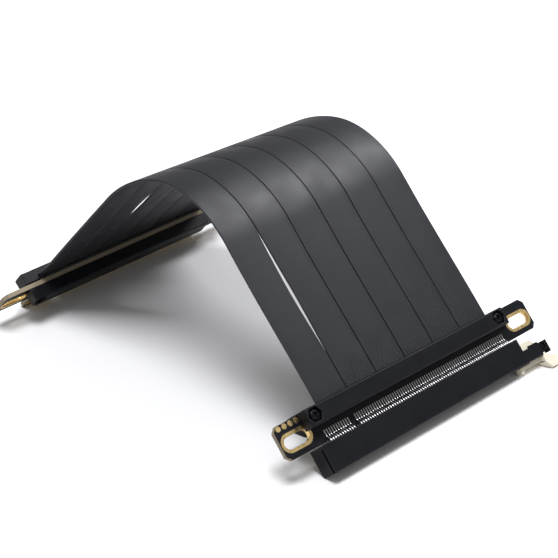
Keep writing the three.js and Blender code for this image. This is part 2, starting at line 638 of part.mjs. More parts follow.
function makeSocketHead() {
  const head = new THREE.Group();
  addPart(head, "socket_board", joined([makeBoard([]), ...testPads()]), "mask");
  addClampedParts(head, "socket", SOCKET_RIBBON_SHIFT);
  addPart(head, "socket_housing", makeSocketHousing(), "plastic");
  const row = makeContactRow();
  addPart(head, "socket_contacts_upper", row, "tin");
  addPart(head, "socket_contacts_lower", toLowerFace(row), "tin");
  addPart(head, "latch_lever", makeLatchLever(), "ivory");
  return head;
}

// The plug's board goes on as the card edge, with its key notch and a row of contacts on each face.
function makePlugBoard() {
  const half = TONGUE_WIDTH / 2;
  const notch = KEY_NOTCH_WIDTH / 2;
  const tongue = [
    [BOARD_FRONT, -half],
    [TONGUE_END - TONGUE_CHAMFER, -half],
    [TONGUE_END, -half + TONGUE_CHAMFER],
    [TONGUE_END, KEY_Y - notch],
    [TONGUE_END - KEY_NOTCH_DEPTH, KEY_Y - notch],
    [TONGUE_END - KEY_NOTCH_DEPTH, KEY_Y + notch],
    [TONGUE_END, KEY_Y + notch],
    [TONGUE_END, half - TONGUE_CHAMFER],
    [TONGUE_END - TONGUE_CHAMFER, half],
    [BOARD_FRONT, half],
  ];
  const fingers = contactPlaces().map((y) => block(
    [FINGER_START, y - FINGER_WIDTH / 2, -BOARD_THICKNESS - LAND_HEIGHT],
    [FINGER_END, y + FINGER_WIDTH / 2, LAND_HEIGHT],
  ));
  return joined([makeBoard(tongue), ...fingers]);
}

// Turned half round in plan, so its places along y are mirrored first.
function makePlugHead() {
  const flat = new THREE.Group();
  addPart(flat, "plug_board", makePlugBoard(), "mask");
  addClampedParts(flat, "plug", 0);
  for (const mesh of flat.children) {
    mesh.geometry = toGeometry(toSolid(mesh.geometry.clone()).mirror([0, 1, 0]));
  }
  return flat;
}

// The arch's middle line in the x-z plane: a straight leg in line with each head and one arc.
// Each station has its place, the direction off the ribbons' outer face and its share of the length.
function archStations() {
  const offBoard = RIBBON_SEAT + RIBBON_THICKNESS / 2;
  const start = new THREE.Vector2(
    RIBBON_END_X * socketCos + offBoard * socketSin,
    SOCKET_HEIGHT - RIBBON_END_X * socketSin + offBoard * socketCos,
  );
  const end = new THREE.Vector2(
    -HEAD_SPACING - PLUG_REACH * Math.cos(YAW),
    PLUG_HEIGHT - RIBBON_END_X * plugSin + offBoard * plugCos,
  );
  const rise = new THREE.Vector2(-socketCos, socketSin);
  const fall = new THREE.Vector2(-plugCos, -plugSin);
  const toApex = end.clone().sub(start).cross(fall) / rise.cross(fall);
  const apex = start.clone().addScaledVector(rise, toApex);
  const heading = THREE.MathUtils.degToRad(SOCKET_TILT);
  const turn = heading + THREE.MathUtils.degToRad(PLUG_TILT);
  const tangent = CREST_RADIUS * Math.tan(turn / 2);
  const firstLeg = toApex - tangent;
  const lastLeg = apex.distanceTo(end) - tangent;
  const arc = CREST_RADIUS * turn;
  const total = firstLeg + arc + lastLeg;
  const stations = [];
  const place = (point, direction, travelled) => {
    const normal = new THREE.Vector2(Math.sin(direction), Math.cos(direction));
    stations.push({ point, normal, share: travelled / total });
  };
  for (let step = 0; step < LEG_STEPS; step += 1) {
    const travelled = (firstLeg * step) / LEG_STEPS;
    place(start.clone().addScaledVector(rise, travelled), heading, travelled);
  }
  const firstNormal = new THREE.Vector2(Math.sin(heading), Math.cos(heading));
  const centre = start.clone().addScaledVector(rise, firstLeg).addScaledVector(firstNormal, -CREST_RADIUS);
  for (let step = 0; step <= CREST_STEPS; step += 1) {
    const direction = heading - (turn * step) / CREST_STEPS;
    const outward = new THREE.Vector2(Math.sin(direction), Math.cos(direction));
    const point = centre.clone().addScaledVector(outward, CREST_RADIUS);
    place(point, direction, firstLeg + (arc * step) / CREST_STEPS);
  }
  const arcEnd = apex.clone().addScaledVector(fall, tangent);
  for (let step = 1; step <= LEG_STEPS; step += 1) {
    const travelled = (lastLeg * step) / LEG_STEPS;
    place(arcEnd.clone().addScaledVector(fall, travelled), heading - turn, firstLeg + arc + travelled);
  }
  return stations;
}

// How far each edge stands back from a seam between two ribbons, at one share of the length.
function seamOpening(seam, share) {
  const openings = PARTINGS.filter((parting) => parting.seam === seam).map(({ opening, from, to }) => {
    const phase = THREE.MathUtils.clamp((share - from) / (to - from), 0, 1);
    return (opening / 2) * Math.sin(Math.PI * phase) ** 2;
  });
  return openings.reduce((sum, opening) => sum + opening, 0);
}

// The ribbons' sideways place and turn in plan, which run smoothly on into the plug head's.
function planPlace(stations, station) {
  const first = stations.find(({ share }) => share >= TWIST_START);
  const last = stations[stations.length - 1];
  const length = first.point.x - last.point.x;
  const u = THREE.MathUtils.clamp((first.point.x - station.point.x) / length, 0, 1);
  const eased = u * u * (3 - 2 * u);
  const endY = PLUG_SIDE_SHIFT - PLUG_REACH * Math.sin(YAW);
  const side = endY * eased - length * Math.tan(YAW) * (u * u * u - u * u);
  const shift = SOCKET_RIBBON_SHIFT * (1 - THREE.MathUtils.smoothstep(station.share, 0, SHIFT_END));
  return { side: side + shift, yaw: YAW * eased };
}

// A ribbon is a rectangle carried along the arch.
function makeRibbon(index, stations) {
  const edge = RIBBON_FIRST_EDGE + index * (RIBBON_WIDTH + RIBBON_GAP);
  const positions = [];
  for (const station of stations) {
    const { point, normal, share } = station;
    const { side, yaw } = planPlace(stations, station);
    const left = edge + seamOpening(index, share);
    const right = edge + RIBBON_WIDTH - seamOpening(index + 1, share);
    for (const [across, face] of [[left, 1], [right, 1], [right, -1], [left, -1]]) {
      const off = (face * RIBBON_THICKNESS) / 2;
      const x = point.x + normal.x * off - across * Math.sin(yaw);
      positions.push(x, side + across * Math.cos(yaw), point.y + normal.y * off);
    }
  }
  const faces = [];
  for (let ring = 0; ring + 1 < stations.length; ring += 1) {
    for (let corner = 0; corner < 4; corner += 1) {
      const a = ring * 4 + corner;
      const b = ring * 4 + ((corner + 1) % 4);
      faces.push(a, b, b + 4, a, b + 4, a + 4);
    }
  }
  const last = (stations.length - 1) * 4;
  faces.push(0, 2, 1, 0, 3, 2, last, last + 1, last + 2, last, last + 2, last + 3);
  const geometry = new THREE.BufferGeometry();
  geometry.setAttribute("position", new THREE.Float32BufferAttribute(positions, 3));
  geometry.setIndex(faces);
  return geometry;
}

const cable = new THREE.Group();

const socketHead = makeSocketHead();
socketHead.rotation.y = THREE.MathUtils.degToRad(SOCKET_TILT);
socketHead.position.z = SOCKET_HEIGHT;
cable.add(socketHead);

const plugHead = makePlugHead();
plugHead.rotation.y = THREE.MathUtils.degToRad(PLUG_TILT);
const plugTurn = new THREE.Group();
plugTurn.add(plugHead);
plugTurn.rotation.z = Math.PI + YAW;
plugTurn.position.set(-HEAD_SPACING, PLUG_SIDE_SHIFT, PLUG_HEIGHT);
cable.add(plugTurn);

const stations = archStations();
for (let index = 0; index < RIBBON_COUNT; index += 1) {
  addPart(cable, `ribbon_${index + 1}`, makeRibbon(index, stations), "ribbon");
}

// The origin lies on the floor, under the middle of the whole cable.
cable.updateMatrixWorld(true);
const reach = new THREE.Box3().setFromObject(cable, true);
const middle = reach.getCenter(new THREE.Vector3());
cable.position.set(-middle.x, -middle.y, -reach.min.z);

const group = new THREE.Group();
group.add(cable);

export default group;
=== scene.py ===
"""Looks of a flat graphics-card riser cable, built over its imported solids.

Lengths are in metres in the frame of the solids. Values marked mm are turned to metres with MM.
Each head has its own axes: along its card's way in, along its contacts and off its board.
"""

import math

import bmesh
import bpy
import numpy as np
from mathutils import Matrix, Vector


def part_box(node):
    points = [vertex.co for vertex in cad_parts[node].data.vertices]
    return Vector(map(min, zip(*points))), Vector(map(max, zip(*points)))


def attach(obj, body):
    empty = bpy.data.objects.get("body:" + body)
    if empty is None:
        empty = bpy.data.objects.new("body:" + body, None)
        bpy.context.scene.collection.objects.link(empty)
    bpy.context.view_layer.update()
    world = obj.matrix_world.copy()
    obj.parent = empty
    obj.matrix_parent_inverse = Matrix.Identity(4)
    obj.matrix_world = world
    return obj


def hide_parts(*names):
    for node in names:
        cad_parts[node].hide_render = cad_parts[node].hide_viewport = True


bl_info = {
    "name": "GPU riser cable",
    "version": (1, 0, 0),
    "blender": (4, 5, 0),
    "location": "View3D > Sidebar > Riser",
    "description": "Builds the surfaces and finishes of a flat riser cable",
    "category": "Add Mesh",
}

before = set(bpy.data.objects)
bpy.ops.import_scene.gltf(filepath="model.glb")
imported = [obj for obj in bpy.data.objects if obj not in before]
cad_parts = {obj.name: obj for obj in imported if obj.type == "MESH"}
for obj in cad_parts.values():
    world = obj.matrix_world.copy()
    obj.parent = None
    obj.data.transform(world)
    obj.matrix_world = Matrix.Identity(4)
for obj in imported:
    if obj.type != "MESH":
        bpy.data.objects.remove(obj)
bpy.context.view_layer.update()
MM = 0.001

# Heads, in mm
SOCKET_TILT = math.radians(45)
PLUG_TILT = math.radians(48.5)
PLUG_YAW = math.radians(3.9)
HEAD_SPACING = 141.6
PLUG_SIDE_SHIFT = -14.0
BOARD_THICKNESS = 1.6
BOARD_FRONT = 1.5
BOARD_START = -57.8
BOARD_END = 58.2
TONGUE_END = 10.0
EAR_SLOT_INSET = 6.3
EAR_SLOT_X = -3.4
EAR_SLOT_SIZE = (12.0, 6.2)
EAR_HOLE_SIZE = (9.8, 3.9)

# Contacts, in mm
CONTACTS_BEFORE_KEY = 11
CONTACT_COUNT = 82
KEY_STEP = 3.0
TAIL_START = -2.0
TAIL_LENGTH = 5.8
TAIL_HEIGHT = 0.22
TAIL_RISE = 1.3
TAIL_RISE_START = -0.15
TAIL_RISE_LENGTH = 2.0
TAIL_SIZE = (0.4, 0.24)
TAIL_CORNER = 0.08
TAIL_STEPS = 15

# Plating and pads, in mm
PLATING_PROUD = 0.06
PLATING_EASE = 0.12
PLATING_EASE_SHARE = 0.06
PAD_X = -8.6
PAD_INSET = 1.95
PAD_PITCH = 2.42
PAD_COUNT = 4
PAD_RADIUS = 0.92
PAD_STEPS = 28
PAD_THICKNESS = 0.1
CARD_CONTACT_X = 7.0
CARD_CONTACT_SIZE = (5.0, 0.74)
CARD_CONTACT_CORNER = 0.12
SOLDER_PAD_X = -1.2
SOLDER_PAD_SIZE = (1.7, 0.46)
SOLDER_PAD_CORNER = 0.1
SOLDER_PAD_THICKNESS = 0.08
SMALL_CORNER_STEPS = 2

# Latch, in mm
PIVOT = (8.2, 53.3)
PIVOT_RADIUS = 1.12
LEVER_HALF = 1.35

# Ribbons, in mm
RIBBON_COUNT = 6
RIBBON_WIDTH = 12.75
RIBBON_GAP = 0.4
RIBBON_THICKNESS = 0.9
RIBBON_EDGE_ROUNDING = 0.4
RIBBON_MIDDLE = 1.3
RIBBON_FIRST_EDGE = -41.2
RIBBON_END_X = -7.2
CREST_RADIUS = 38.0
SOCKET_RIBBON_SHIFT = 1.1
SHIFT_END = 0.3
TWIST_START = 0.48

# The rounded edges reach this far past the solids' square ones, in mm.
RIBBON_EDGE_REACH = 0.15

# Each opening's seam, width in mm, and the shares of the length where it starts and ends. The
# second is 0.7 mm wider than in the solids, to make up for the reach of the rounded edges.
PARTINGS = ((1, 1.2, 0.05, 0.37), (2, 2.7, 0.7, 0.88))

# Edges: how far they are eased, in mm, and the angles that count as sharp, in degrees
MOULDED_EASE = 0.16
BOARD_EASE = 0.08
FASTENER_EASE = 0.07
EASE_STEPS = 2
EASE_ANGLE = 35
FLAT_ANGLE = 1
SOLID_SHARP_ANGLE = 32
PLATE_SHARP_ANGLE = 30
TAIL_SHARP_ANGLE = 40
RIBBON_SHARP_ANGLE = 50

# Points closer than this are one point, in metres.
DOUBLE_DISTANCE = 1e-7
SOLID_DOUBLE_DISTANCE = 2e-6

# A board's face whose normal lies less than this share along the board's own is a cut edge.
CUT_EDGE_FACING = 0.7

# Finishes: the length of one band of a wave at a scale of 1, the pitch of the buried traces in mm,
# how much the grain adds to the weave, and the ranges that this relief and a noise mostly keep to
WAVE_LENGTH = 0.314
TRACE_PITCH = 1.0
GRAIN_SHARE = 0.5
RELIEF_RANGE = (0.1, 1.1)
NOISE_RANGE = (0.3, 0.7)

# Stage, in metres and watts, but the sensor's width in mm. Each lamp has its name, place, aim,
# size and power.
LAMPS = (
    ("front lamp", (0.1, -0.14, 0.85), (0, 0, 0.03), 0.36, 6.0),
    ("sheen lamp", (0.05, 0.6, 0.8), (0, 0, 0.05), 0.36, 5.5),
)
LAMP_COLOUR = (0.96, 0.965, 1.0)
FLOOR_HALF = 6.0
FLOOR_FADE = (0.3, 0.55)
FLOOR_TONES = (0.995, 1.005)
SURROUND_STRENGTH = 0.35
WHITE_STRENGTH = 1.0
SENSOR_WIDTH = 36.0
CAMERA_CLIP = (0.01, 20.0)


class Head:
    """One head's origin and axes. A point is origin plus way * x plus across * y plus off * z."""

    def __init__(self, origin, way, across, off):
        self.origin = np.array(origin, float)
        self.axes = np.array([way, across, off], float)

    def place(self, points):
        """Points in the head's own axes, in mm, to places in the frame, in metres."""
        return self.origin + np.asarray(points, float) @ self.axes * MM


def socket_head():
    """The socket head's axes slope down by its tilt. Its origin is found from the board's box."""
    low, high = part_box("socket_board")
    c, s = math.cos(SOCKET_TILT), math.sin(SOCKET_TILT)
    origin = (
        high.x - BOARD_FRONT * c * MM,
        low.y - BOARD_START * MM,
        low.z + (BOARD_FRONT * s + BOARD_THICKNESS * c) * MM,
    )
    return Head(origin, (c, 0, -s), (0, 1, 0), (s, 0, c))


def plug_head(socket):
    """The plug head's axes point the other way, down by its tilt and turned in plan by its yaw."""
    c, s = math.cos(PLUG_TILT), math.sin(PLUG_TILT)
    cy, sy = math.cos(PLUG_YAW), math.sin(PLUG_YAW)
    height = (TONGUE_END * s + BOARD_THICKNESS * c) * MM
    origin = (
        socket.origin[0] - HEAD_SPACING * MM,
        socket.origin[1] + PLUG_SIDE_SHIFT * MM,
        height,
    )
    return Head(origin, (-c * cy, -c * sy, -s), (-sy, cy, 0), (-s * cy, -s * sy, c))


SOCKET = socket_head()
PLUG = plug_head(SOCKET)
HEADS = {"socket": SOCKET, "plug": PLUG}


# Meshes


def make_object(name, points, faces, body="cable", replaced=()):
    """A mesh object from points in metres, riding on a body and standing for the named solids."""
    mesh = bpy.data.meshes.new(name)
    mesh.from_pydata(np.asarray(points).tolist(), [], [list(face) for face in faces])
    mesh.update()
    made = bpy.data.objects.new(name, mesh)
    bpy.context.scene.collection.objects.link(made)
    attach(made, body)
    if replaced:
        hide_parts(*replaced)
    return made


def turn_outwards(made):
    """Merges doubled points and turns every face outwards."""
    work = bmesh.new()
    work.from_mesh(made.data)
    bmesh.ops.remove_doubles(work, verts=work.verts, dist=DOUBLE_DISTANCE)
    bmesh.ops.recalc_face_normals(work, faces=work.faces)
    work.to_mesh(made.data)
    work.free()


def smooth_by_angle(made, degrees):
    """Shades faces smooth and keeps edges sharper than the angle sharp."""
    mesh = made.data
    mesh.polygons.foreach_set("use_smooth", np.ones(len(mesh.polygons), bool))
    mesh.set_sharp_from_angle(angle=math.radians(degrees))


def tube_faces(rings, sides, closed_ends=True):
    """Quads between neighbouring rings of a swept section, with one face on each closed end."""
    ring, side = np.meshgrid(np.arange(rings - 1), np.arange(sides), indexing="ij")
    following = (side + 1) % sides
    quads = np.stack(
        [
            ring * sides + side,
            ring * sides + following,
            (ring + 1) * sides + following,
            (ring + 1) * sides + side,
        ],
        axis=-1,
    ).reshape(-1, 4)
    faces = quads.tolist()
    if closed_ends:
        faces.append(list(range(sides))[::-1])
        faces.append(list(range((rings - 1) * sides, rings * sides)))
    return faces


def repeated(points, faces, offsets):
    """Copies of one piece at many offsets, as one set of points and faces."""
    moved = (points[None, :, :] + np.asarray(offsets)[:, None, :]).reshape(-1, 3)
    starts = range(0, len(moved), len(points))
    copied = [[index + start for index in face] for start in starts for face in faces]
    return moved, copied


def rounded_rectangle(width, height, radius, steps=4):
    """A rectangle's outline round the origin: each corner is a quarter circle of the radius."""
    angles = np.linspace(0, math.pi / 2, steps + 1)
    arcs = []
    for turn in range(4):
        side_x = 1 if turn in (0, 3) else -1
        side_y = 1 if turn in (0, 1) else -1
        angle = angles + turn * math.pi / 2
        x = side_x * (width / 2 - radius) + radius * np.cos(angle)
        y = side_y * (height / 2 - radius) + radius * np.sin(angle)
        arcs.append(np.stack([x, y], axis=-1))
    return np.concatenate(arcs)


def oblong_outline(length, width, steps=14):
    """An oblong along the second axis: two half circles, moved apart by length less width."""
    angle = np.linspace(0, math.pi, steps + 1)
    radius = width / 2
    reach = length / 2 - radius
    first = np.stack([radius * np.cos(angle), reach + radius * np.sin(angle)], axis=-1)
    return np.concatenate([first, -first])


def eased(share):
    """A share from 0 to 1 that starts and ends level: three squares of it less two cubes."""
    return share * share * (3 - 2 * share)


def contact_places():
    """Where the contacts stand along a head: 1 mm apart, with a wider step at the key."""
    index = np.arange(CONTACT_COUNT)
    span = CONTACT_COUNT - 2 + KEY_STEP
    return -span / 2 + index + np.where(index < CONTACTS_BEFORE_KEY, 0, KEY_STEP - 1)


def contact_offsets(x, height):
    """One offset for each contact of a head, at one place along the way and one height."""
    places = contact_places()
    return np.column_stack([np.full(len(places), x), places, np.full(len(places), height)])


# Materials


def scaled(colour, factor):
    """A colour made darker or lighter by a factor."""
    return tuple(channel * factor for channel in colour[:3])


def colour_sockets(sockets):
    """The colour sockets among a node's inputs or outputs."""
    return [socket for socket in sockets if socket.type == "RGBA"]


class Finish:
    """A material and short ways to add nodes to it."""

    def __init__(self, name, colour, roughness, metallic=0.0, shine=0.5):
        self.material = bpy.data.materials.new(name)
        self.material.use_nodes = True
        self.nodes = self.material.node_tree.nodes
        self.shader = self.nodes["Principled BSDF"]
        self.shader.inputs["Base Color"].default_value = (*colour[:3], 1)
        self.shader.inputs["Roughness"].default_value = roughness
        self.shader.inputs["Metallic"].default_value = metallic
        self.shader.inputs["Specular IOR Level"].default_value = shine

    def link(self, source, target):
        """Feeds one socket from another."""
        self.material.node_tree.links.new(source, target)

    def add(self, kind, **values):
        """A node of one kind, with its own properties or named inputs set."""
        made = self.nodes.new("ShaderNode" + kind)
        for key, value in values.items():
            if hasattr(made, key):
                setattr(made, key, value)
            else:
                made.inputs[key.replace("_", " ").title()].default_value = value
        return made

    def object_place(self):
        """Places on the object, in metres."""
        return self.add("TexCoord").outputs["Object"]

    def noise(self, place, scale, detail):
        """Soft random patches, finer with a larger scale."""
        made = self.add("TexNoise", scale=scale, detail=detail)
        self.link(place, made.inputs["Vector"])
        return made.outputs["Fac"]

    def ranged(self, value, source, target):
        """A value brought from one range to another and held inside it."""
        made = self.add("MapRange")
        for key, number in zip(("From Min", "From Max", "To Min", "To Max"), (*source, *target)):
            made.inputs[key].default_value = number
        self.link(value, made.inputs["Value"])
        return made.outputs["Result"]

    def blended(self, share, first, second):
        """Two colours mixed by a share from 0 to 1."""
        made = self.add("Mix", data_type="RGBA")
        self.link(share, made.inputs["Factor"])
        for socket, colour in zip(colour_sockets(made.inputs), (first, second)):
            socket.default_value = (*colour[:3], 1)
        return colour_sockets(made.outputs)[0]

    def shade(self, name, value):
        """Feeds one of the shader's inputs."""
        self.link(value, self.shader.inputs[name])

    def tone(self, share, colour, dark, light):
        """Colours the surface between a darker and a lighter tone of one colour."""
        self.shade("Base Color", self.blended(share, scaled(colour, dark), scaled(colour, light)))

    def gloss(self, patches, low, high):
        """Lets the roughness wander between two values with a noise."""
        self.shade("Roughness", self.ranged(patches, NOISE_RANGE, (low, high)))

    def bump(self, height, strength, distance):
        """Raises the surface's grain by a distance in metres."""
        made = self.add("Bump", strength=strength, distance=distance)
        self.link(height, made.inputs["Height"])
        self.link(made.outputs["Normal"], self.shader.inputs["Normal"])

    def wear(self, made):
        """Gives this finish to an object."""
        made.data.materials.append(self.material)


def woven_jacket(colour, pitch):
    """Ribbon jacket: fine ribs across and along, which follow the ribbon's own lay in mm."""
    finish = Finish("ribbon jacket", colour, roughness=0.36)
    lay = finish.add("Attribute", attribute_name="lay").outputs["Vector"]
    weave = finish.add("Math", operation="MULTIPLY")
    for direction, factor in zip("XY", weave.inputs):
        wave = finish.add("TexWave", bands_direction=direction, scale=WAVE_LENGTH / pitch)
        finish.link(lay, wave.inputs["Vector"])
        finish.link(wave.outputs["Fac"], factor)
    patches = finish.noise(lay, scale=0.12, detail=4.0)
    grain = finish.noise(lay, scale=3.0, detail=2.0)
    relief = finish.add("Math", operation="MULTIPLY_ADD")
    finish.link(grain, relief.inputs[0])
    relief.inputs[1].default_value = GRAIN_SHARE
    finish.link(weave.outputs[0], relief.inputs[2])
    share = finish.ranged(relief.outputs[0], RELIEF_RANGE, (0, 1))
    finish.tone(share, colour, dark=0.5, light=1.6)
    finish.gloss(patches, low=0.34, high=0.5)
    finish.bump(relief.outputs[0], strength=0.5, distance=0.0001)
    return finish


def moulded_plastic(name, colour, roughness, shine):
    """Moulded plastic: a fine spark-eroded grain and slightly uneven gloss."""
    finish = Finish(name, colour, roughness, shine=shine)
    place = finish.object_place()
    grain = finish.noise(place, scale=2600, detail=3.0)
    patches = finish.noise(place, scale=90, detail=4.0)
    finish.tone(patches, colour, dark=0.85, light=1.15)
    finish.gloss(patches, low=roughness - 0.06, high=roughness + 0.08)
    finish.bump(grain, strength=0.18, distance=0.00006)
    return finish


def board_mask(colour):
    """Solder mask over copper: a smooth dark coat with faint buried traces along the card's way."""
    finish = Finish("solder mask", colour, roughness=0.4, shine=0.2)
    place = finish.object_place()
    scale = WAVE_LENGTH / (TRACE_PITCH * MM)
    traces = finish.add("TexWave", bands_direction="Y", scale=scale)
    finish.link(place, traces.inputs["Vector"])
    patches = finish.noise(place, scale=160, detail=3.0)
    finish.tone(patches, colour, dark=0.8, light=1.25)
    finish.gloss(patches, low=0.34, high=0.46)
    finish.bump(traces.outputs["Fac"], strength=0.12, distance=0.00005)
    return finish


def board_core(colour):
    """Cut glass-fibre core: pale beige with fine layers."""
    finish = Finish("board core", colour, roughness=0.75)
    fibres = finish.noise(finish.object_place(), scale=1900, detail=4.0)
    finish.tone(fibres, colour, dark=0.75, light=1.15)
    finish.bump(fibres, strength=0.25, distance=0.00008)
    return finish


def plated_metal(name, colour, roughness):
    """Plated or tinned metal: fine unevenness in gloss."""
    finish = Finish(name, colour, roughness, metallic=1.0)
    patches = finish.noise(finish.object_place(), scale=700, detail=4.0)
    finish.tone(patches, colour, dark=0.88, light=1.08)
    finish.gloss(patches, low=roughness - 0.07, high=roughness + 0.1)
    finish.bump(patches, strength=0.1, distance=0.00005)
    return finish


def foam_strip(colour):
    """Foam: matt and pitted."""
    finish = Finish("foam", colour, roughness=0.9)
    pits = finish.noise(finish.object_place(), scale=1500, detail=2.0)
    finish.tone(pits, colour, dark=0.6, light=1.3)
    finish.bump(pits, strength=0.6, distance=0.0001)
    return finish


FINISHES = {}


def finish_for(name):
    """The finish of one kind, made once from the settings."""
    look = bpy.context.scene.riser_look
    makers = {
        "jacket": lambda: woven_jacket(look.ribbon_colour, look.weave_pitch),
        "plastic": lambda: moulded_plastic(
            "black plastic", look.plastic_colour, roughness=0.42, shine=0.17
        ),
        "ivory": lambda: moulded_plastic(
            "ivory plastic", look.latch_colour, roughness=0.45, shine=0.4
        ),
        "mask": lambda: board_mask(look.mask_colour),
        "core": lambda: board_core(look.core_colour),
        "gold": lambda: plated_metal("gold plating", look.gold_colour, roughness=0.3),
        "tin": lambda: plated_metal("tinned metal", look.tin_colour, roughness=0.28),
        "screws": lambda: plated_metal("blackened steel", look.screw_colour, roughness=0.32),
        "foam": lambda: foam_strip(look.foam_colour),
    }
    if name not in FINISHES:
        FINISHES[name] = makers[name]()
    return FINISHES[name]


def clean_copy(node, ease, body="cable"):
    """A solid's own shape with its flat faces whole again and its edges eased by so many mm."""
    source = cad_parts[node]
    made = bpy.data.objects.new("dressed_" + node, source.data.copy())
    bpy.context.scene.collection.objects.link(made)
    made.data.materials.clear()
    work = bmesh.new()
    work.from_mesh(made.data)
    bmesh.ops.remove_doubles(work, verts=work.verts, dist=SOLID_DOUBLE_DISTANCE)
    bmesh.ops.dissolve_limit(
        work, angle_limit=math.radians(FLAT_ANGLE), verts=work.verts, edges=work.edges
    )
    work.to_mesh(made.data)
    work.free()
    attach(made, body)
    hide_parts(node)
    if ease:
        rounding = made.modifiers.new("eased edges", "BEVEL")
        rounding.width = ease * MM
        rounding.segments = EASE_STEPS
        rounding.limit_method = "ANGLE"
        rounding.angle_limit = math.radians(EASE_ANGLE)
    smooth_by_angle(made, SOLID_SHARP_ANGLE)
    return made


def dress_lever():
    """The ivory lever, with the ends of its pivot in dark steel."""
    made = clean_copy("latch_lever", MOULDED_EASE, "latch")
    finish_for("ivory").wear(made)
    finish_for("screws").wear(made)
    mesh = made.data
    centres = np.zeros(len(mesh.polygons) * 3)
    mesh.polygons.foreach_get("center", centres)
    local = (centres.reshape(-1, 3) - SOCKET.origin) @ SOCKET.axes.T / MM
    beyond = np.abs(local[:, 2] + BOARD_THICKNESS / 2) > LEVER_HALF
    near = np.hypot(local[:, 0] - PIVOT[0], local[:, 1] - PIVOT[1]) < PIVOT_RADIUS
    mesh.polygons.foreach_set("material_index", (beyond & near).astype(np.int32))


# Ribbons


def plug_end_reach():
    """How far the ribbons' end at the plug stands from its origin in plan, in mm."""
    return RIBBON_END_X * math.cos(PLUG_TILT) + RIBBON_MIDDLE * math.sin(PLUG_TILT)


def arch_line(count):
    """The ribbons' middle line in the x-z plane, in mm: points, normals, lengths along, shares.

    A straight leg rises in line with the socket head, an arc of the crest radius turns it over,
    and a straight leg falls to the plug head. The arc touches both lines, so its tangent length
    is the radius times the tangent of half the turn.
    """
    start = (SOCKET.place([[RIBBON_END_X, 0, RIBBON_MIDDLE]])[0] / MM)[[0, 2]]
    drop = -RIBBON_END_X * math.sin(PLUG_TILT) + RIBBON_MIDDLE * math.cos(PLUG_TILT)
    end = (PLUG.origin / MM)[[0, 2]] + np.array([-plug_end_reach() * math.cos(PLUG_YAW), drop])
    rise = np.array([-math.cos(SOCKET_TILT), math.sin(SOCKET_TILT)])
    fall = np.array([-math.cos(PLUG_TILT), -math.sin(PLUG_TILT)])
    to_apex = np.linalg.solve(np.stack([rise, -fall], axis=1), end - start)
    turn = SOCKET_TILT + PLUG_TILT
    tangent = CREST_RADIUS * math.tan(turn / 2)
    first_leg = to_apex[0] - tangent
    last_leg = -to_apex[1] - tangent
    arc = CREST_RADIUS * turn
    total = first_leg + arc + last_leg
    travelled = np.linspace(0, total, count)
    angle = SOCKET_TILT - np.clip(travelled - first_leg, 0, arc) / CREST_RADIUS
    normal = np.stack([np.sin(angle), np.cos(angle)], axis=-1)
    first_normal = np.array([math.sin(SOCKET_TILT), math.cos(SOCKET_TILT)])
    centre = start + rise * first_leg - first_normal * CREST_RADIUS
    on_first = np.minimum(travelled - first_leg, 0)[:, None] * rise
    on_last = np.maximum(travelled - first_leg - arc, 0)[:, None] * fall
    points = centre + normal * CREST_RADIUS + on_first + on_last
    return points, normal, travelled, travelled / total


def plan_place(x, shares):
    """Sideways place, in mm, and turn in plan along the ribbons.

    The place is a cubic that ends in line with the plug. A shift that fades out over the first
    part of the length is added at the socket.
    """
    first = x[np.searchsorted(shares, TWIST_START)]
    length = first - x[-1]
    u = np.clip((first - x) / length, 0, 1)
    end = PLUG_SIDE_SHIFT - plug_end_reach() * math.sin(PLUG_YAW)
    side = end * eased(u) - length * math.tan(PLUG_YAW) * (u**3 - u * u)
    shift = SOCKET_RIBBON_SHIFT * (1 - eased(np.clip(shares / SHIFT_END, 0, 1)))
    return SOCKET.origin[1] / MM + side + shift, PLUG_YAW * eased(u)


def seam_opening(seam, shares):
    """How far each edge stands back from a seam, in mm.

    It is half the opening times a squared sine over the opening's stretch.
    """
    total = np.zeros_like(shares)
    for number, opening, start, end in PARTINGS:
        if number == seam:
            phase = np.clip((shares - start) / (end - start), 0, 1)
            total += opening / 2 * np.sin(math.pi * phase) ** 2
    return total


def make_ribbon(index, settings):
    """One ribbon: a rounded rectangle carried along the arch.

    Its edges stand back where the seams beside it open. Each point's place across, along and off
    the ribbon, in mm, is kept as its lay.
    """
    points, normals, travelled, shares = arch_line(settings.ribbon_steps)
    side, yaw = plan_place(points[:, 0], shares)
    edge = RIBBON_FIRST_EDGE + index * (RIBBON_WIDTH + RIBBON_GAP)
    left = edge + seam_opening(index, shares) - RIBBON_EDGE_REACH
    right = edge + RIBBON_WIDTH - seam_opening(index + 1, shares) + RIBBON_EDGE_REACH
    section = rounded_rectangle(RIBBON_WIDTH, RIBBON_THICKNESS, RIBBON_EDGE_ROUNDING)
    share_across = section[:, 0] / RIBBON_WIDTH + 0.5
    across = left[:, None] + (right - left)[:, None] * share_across[None, :]
    off = np.broadcast_to(section[None, :, 1], across.shape)
    x = points[:, 0:1] + normals[:, 0:1] * off - across * np.sin(yaw)[:, None]
    y = side[:, None] + across * np.cos(yaw)[:, None]
    z = points[:, 1:2] + normals[:, 1:2] * off
    placed = np.stack([x, y, z], axis=-1).reshape(-1, 3) * MM
    name = f"ribbon_{index + 1}"
    faces = tube_faces(len(points), len(section))
    made = make_object("woven_" + name, placed, faces, replaced=(name,))
    lay = np.stack([across, np.broadcast_to(travelled[:, None], across.shape), off], axis=-1)
    attribute = made.data.attributes.new("lay", "FLOAT_VECTOR", "POINT")
    attribute.data.foreach_set("vector", lay.astype(np.float32).ravel())
    turn_outwards(made)
    smooth_by_angle(made, RIBBON_SHARP_ANGLE)
    finish_for("jacket").wear(made)


# Boards, plating and contacts


